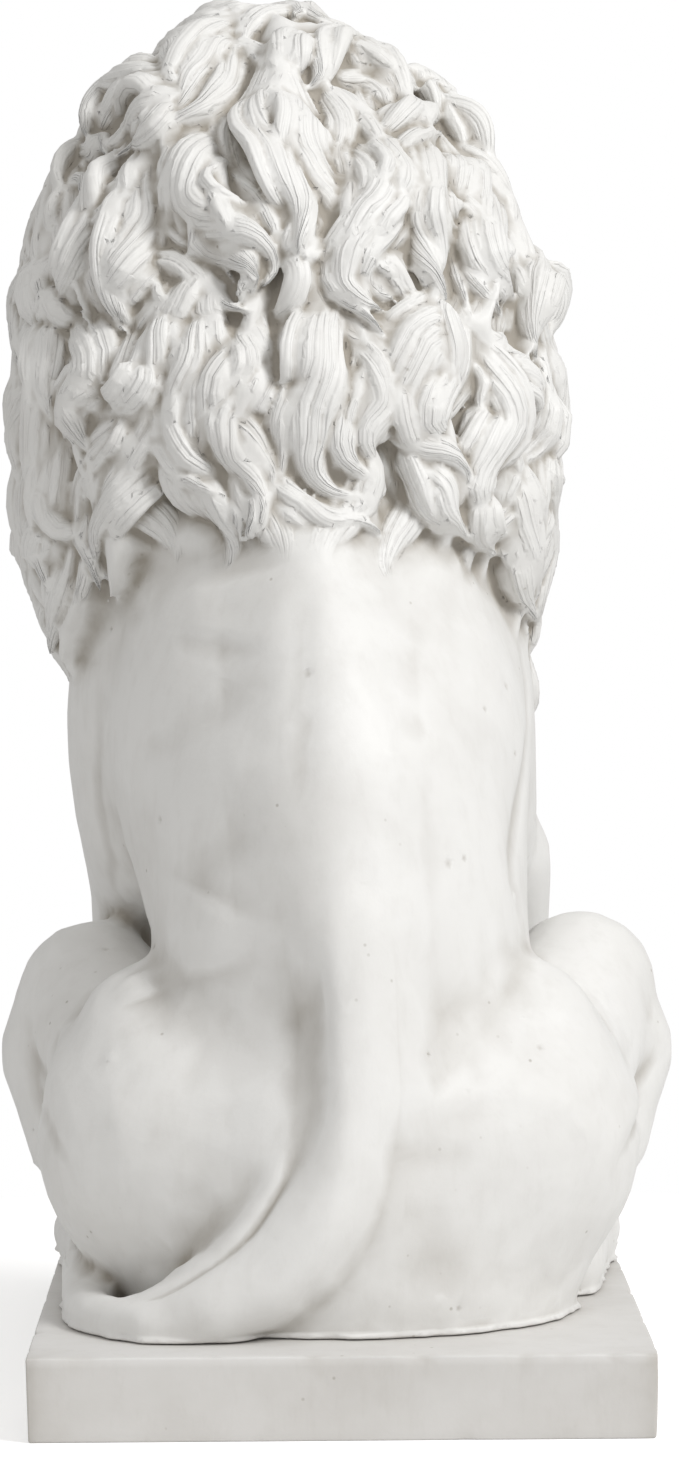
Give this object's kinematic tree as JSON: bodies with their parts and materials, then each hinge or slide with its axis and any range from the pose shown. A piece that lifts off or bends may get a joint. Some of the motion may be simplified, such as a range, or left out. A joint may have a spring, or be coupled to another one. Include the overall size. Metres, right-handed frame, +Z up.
{
  "type": "seated lion statue",
  "caption": "Seated cast-stone lion with a full wavy mane and its tail round one haunch, on a plain rectangular slab.",
  "frame": {"origin": "middle of the slab's underside", "axes": "+Z up; +Y the way the lion's body faces; +X towards the lion's right"},
  "size_m": [0.3552, 0.46, 0.7234],
  "materials": {
    "stone": "matt off-white cast stone",
    "slab": "matt off-white cast stone"
  },
  "bodies": {
    "root": {"lion": "stone", "plinth": "slab"}
  },
  "joints": []
}
